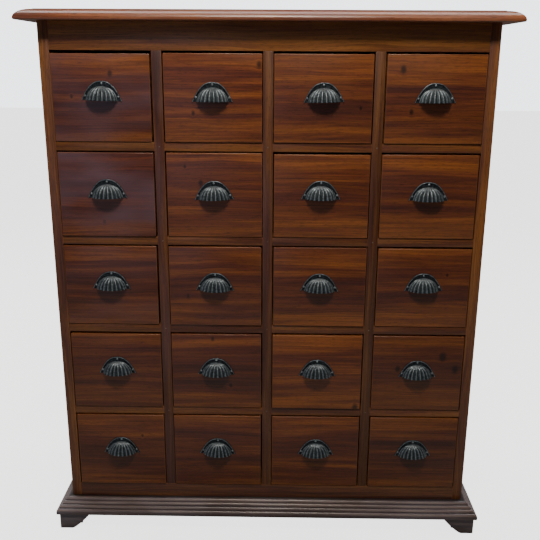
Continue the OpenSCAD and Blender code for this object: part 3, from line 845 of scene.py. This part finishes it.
def make_pins():
    """Three small round-headed pins, at the top and the two lower corners."""
    pins = []
    for x, z in PIN_PLACES:
        bpy.ops.object.select_all(action="DESELECT")
        bpy.ops.mesh.primitive_uv_sphere_add(segments=20, ring_count=12, radius=PIN_HEAD_R)
        bpy.ops.transform.resize(value=(1, PIN_DOME, 1))
        bpy.ops.object.transform_apply(location=True, rotation=True, scale=True)
        pins.append(headed("pin", (x, -0.9 * MM, z), inset=0.9 * MM, shank=0.6 * MM))
    pins = join("pins", pins)
    bpy.ops.object.shade_smooth()
    buffed = pins.data.attributes.new("buffed", "FLOAT", "POINT")
    buffed.data.foreach_set("value", [1.0] * len(pins.data.vertices))
    return pins


# ---------------------------------------------------------------- all the drawers

# Knots: row, column, millimetres right of and above the front's middle, size in mm
KNOTS = [
    (1, 1, 19, 48, 3.5), (1, 1, -60, 3, 2.0), (1, 2, -40, -29, 2.5), (1, 2, 92, 66, 3.5),
    (1, 3, 75, -17, 2.0), (1, 4, -66, 58, 4.0), (1, 4, -46, -24, 3.0), (2, 1, -9, -56, 2.5),
    (2, 2, -28, 26, 3.5), (2, 2, -60, 60, 2.0), (3, 2, -59, -21, 2.0), (4, 2, -8, 77, 2.5),
    (4, 2, 31, -33, 2.5), (4, 3, 87, -83, 4.5), (4, 4, 54, 40, 5.5), (4, 4, 83, 10, 4.5),
    (4, 4, -43, 10, 4.0), (5, 1, 48, 36, 2.0), (3, 4, 50, 30, 2.0),
]

# How each front took the stain and the painted cool sheen over it: depth, warmth and sheen, by row
STAINS = [
    [(0.15, -0.40, 0.45), (0.22, 0.35, 0.05), (0.12, 0.30, 0.00), (0.05, 0.20, 0.00)],
    [(0.28, -0.75, 0.72), (0.15, 0.10, 0.10), (0.10, 0.45, 0.00), (0.05, 0.25, 0.00)],
    [(-0.02, -0.30, 0.25), (0.02, 0.05, 0.10), (0.05, 0.10, 0.00), (0.00, 0.05, 0.00)],
    [(-0.08, -0.05, 0.05), (0.00, -0.05, 0.10), (0.10, 0.30, 0.00), (-0.14, 0.05, 0.00)],
    [(-0.04, 0.05, 0.00), (0.00, 0.05, 0.05), (0.02, 0.10, 0.00), (-0.16, 0.10, 0.00)],
]

# How far each front's top edge sits below its fellows', in mm, by row
DROPS = [
    [3.0, 1.6, 1.8, 1.2],
    [0.2, 0.0, 1.8, 0.8],
    [0.0, 0.2, 0.0, 1.2],
    [1.6, 0.4, 0.6, 0.2],
    [0.0, 0.2, 0.3, 0.0],
]

# How far each drawer sits to one side of its opening, in mm, by row
SIDESTEPS = [
    [-1.4, 0.5, -0.6, 0.4],
    [-0.4, 0.7, 0.2, -0.7],
    [-1.5, -0.3, 0.5, 0.2],
    [0.3, -0.5, -0.4, -0.6],
    [0.9, -0.9, -0.3, 0.4],
]

# A knot that a front doesn't have: millimetres right and up, and size
NO_KNOT = (900, 900, 5)
# A knot's width as a share of its height
KNOT_WIDTH = 0.7
# How unevenly things hang: each drawer's height (mm) and cant (degrees), and each pull's offset to the
# side and up (mm) and its turn (degrees)
HANG, CANT = (-1.0, 1.2), (-0.06, 0.06)
PULL_ACROSS, PULL_UP, PULL_TURN = (-1.5, 1.5), (-0.5, 2.3), (-2, 2)
# The points that are in a front's top edge lie at most this far below it
TOP_EDGE = 4 * MM


def mark_place(front, row, col):
    """Notes on each point where it lies on its front, from -1 to 1, and how far it is from each knot.

    The distance is in knot sizes. A front with fewer than three knots has the others far off.
    """
    xs = [v.co.x for v in front.data.vertices]
    zs = [v.co.z for v in front.data.vertices]
    middle = Vector(((min(xs) + max(xs)) / 2, 0, (min(zs) + max(zs)) / 2))
    half = Vector(((max(xs) - min(xs)) / 2, 1, (max(zs) - min(zs)) / 2))
    on_front = front.data.attributes.new("on_front", "FLOAT_VECTOR", "POINT")
    for vertex, mark in zip(front.data.vertices, on_front.data):
        away = vertex.co - middle
        mark.vector = (away.x / half.x, 0, away.z / half.z)
    mine = [k[2:] for k in KNOTS if k[:2] == (row, col)]
    mine += [NO_KNOT] * (len(KNOT_SLOTS) - len(mine))
    for name, (x, z, size) in zip(KNOT_SLOTS, mine):
        note = front.data.attributes.new(name, "FLOAT_VECTOR", "POINT")
        for vertex, mark in zip(front.data.vertices, note.data):
            away = (vertex.co - middle) / (size * MM) - Vector((x, 0, z)) / size
            mark.vector = (away.x, away.z * KNOT_WIDTH, 0)


def fit_drawers():
    front, box = make_drawer()
    cup_and_flange = join("pull", [make_cup(), make_flange()])
    pins = make_pins()
    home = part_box("drawer_r1_c1")[0]
    for row in ROWS:
        for col in COLS:
            tag = f"r{row}_c{col}"
            body = f"sliding_{tag}"
            low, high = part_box(f"drawer_{tag}")
            pull_low, pull_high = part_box(f"pull_{tag}")
            # each drawer hangs in its opening a little differently
            slack = Vector((SIDESTEPS[row - 1][col - 1], chance.uniform(*HANG), 0)) * MM
            cant = Matrix.Rotation(math.radians(chance.uniform(*CANT)), 4, "Y")
            middle = (low + high) / 2
            seat = Matrix.Translation(middle) @ cant @ Matrix.Translation(slack + low - home - middle)
            pull_at = Vector(((pull_low.x + pull_high.x) / 2, low.y, pull_low.z))
            pull_at += Vector((chance.uniform(*PULL_ACROSS), 0, chance.uniform(*PULL_UP))) * MM + slack
            twist = Matrix.Rotation(math.radians(chance.uniform(*PULL_TURN)), 4, "Y")
            pull_seat = Matrix.Translation(pull_at) @ twist

            this_front = copied(front, f"drawer_front_{tag}", seat)
            recut(this_front)
            for vertex in this_front.data.vertices:
                if vertex.co.z > high.z - TOP_EDGE:
                    vertex.co.z -= DROPS[row - 1][col - 1] * MM
            depth, warmth, bloom = STAINS[row - 1][col - 1]
            stain_and_sheen(this_front, depth, warmth, bloom)
            mark_place(this_front, row, col)
            finish_piece(this_front, body, FRONT_WOOD, "drawer_wood", f"drawer_{tag}")
            this_box = copied(box, f"drawer_box_{tag}", seat)
            recut(this_box)
            finish_piece(this_box, body, BARE_WOOD, "inside_wood")
            this_pull = copied(cup_and_flange, f"shell_pull_{tag}", pull_seat)
            finish_piece(this_pull, body, PEWTER, "pull_metal", f"pull_{tag}")
            finish_piece(copied(pins, f"pull_pins_{tag}", pull_seat), body, PEWTER, "pull_metal")
    for master in (front, box, cup_and_flange, pins):
        bpy.data.objects.remove(master)


fit_drawers()


# ---------------------------------------------------------------- studio

def pale_paper():
    """Matt pale studio paper."""
    material, tree = new_material("pale_paper")
    seen = add(tree, "LightPath")["Is Camera Ray"]
    glow = add(tree, "Math", {0: seen, 1: 2.7}, operation="MULTIPLY")[0]
    surface = add(tree, "BsdfPrincipled", {"Base Color": hex_colour("#9a9895"), "Roughness": 0.9,
                                           "Emission Color": hex_colour("#f4f4f4"),
                                           "Emission Strength": glow})["BSDF"]
    add(tree, "OutputMaterial", {"Surface": surface})
    return material


def make_studio():
    bpy.ops.object.select_all(action="DESELECT")
    bpy.ops.mesh.primitive_plane_add(size=30, location=(0, 0, 0))
    floor = named("studio_floor")
    floor.data.materials.append(pale_paper())
    # the room is dim, but its far walls look pale
    world = bpy.data.worlds.new("soft_room")
    world.use_nodes = True
    tree = world.node_tree
    tree.nodes.clear()
    seen = add(tree, "LightPath")["Is Camera Ray"]
    strength = add(tree, "MapRange", {"Value": seen, "To Min": 0.05, "To Max": 3.2})["Result"]
    sky = add(tree, "Background", {"Color": (0.93, 0.96, 1.0, 1.0), "Strength": strength})["Background"]
    add(tree, "OutputWorld", {"Surface": sky})
    bpy.context.scene.world = world


def softbox(name, place, target, size, power, tint="#ffffff"):
    data = bpy.data.lights.new(name, "AREA")
    data.shape = "RECTANGLE"
    data.size, data.size_y = size
    data.energy = power
    data.color = hex_colour(tint)[:3]
    lamp = bpy.data.objects.new(name, data)
    bpy.context.scene.collection.objects.link(lamp)
    aim = (Vector(target) - Vector(place)).to_track_quat("-Z", "Y")
    lamp.matrix_world = Matrix.Translation(place) @ aim.to_matrix().to_4x4()


make_studio()
softbox("key", (0.0, -1.25, 2.45), (0, -0.15, 0.8), (0.45, 0.3), 29, "#fff4e6")
softbox("window", (-1.15, -3.0, 0.75), (-0.2, 0, 0.7), (0.9, 0.7), 3.5, "#d3dcff")
softbox("ceiling", (0.0, 0.5, 3.2), (0, 0.3, 0), (3.4, 0.9), 60)
softbox("back_left", (-2.3, 1.3, 1.9), (0, 0, 0.5), (1.4, 1.4), 40)
softbox("back_right", (2.5, 0.9, 1.6), (0, 0, 0.5), (1.4, 1.4), 34)
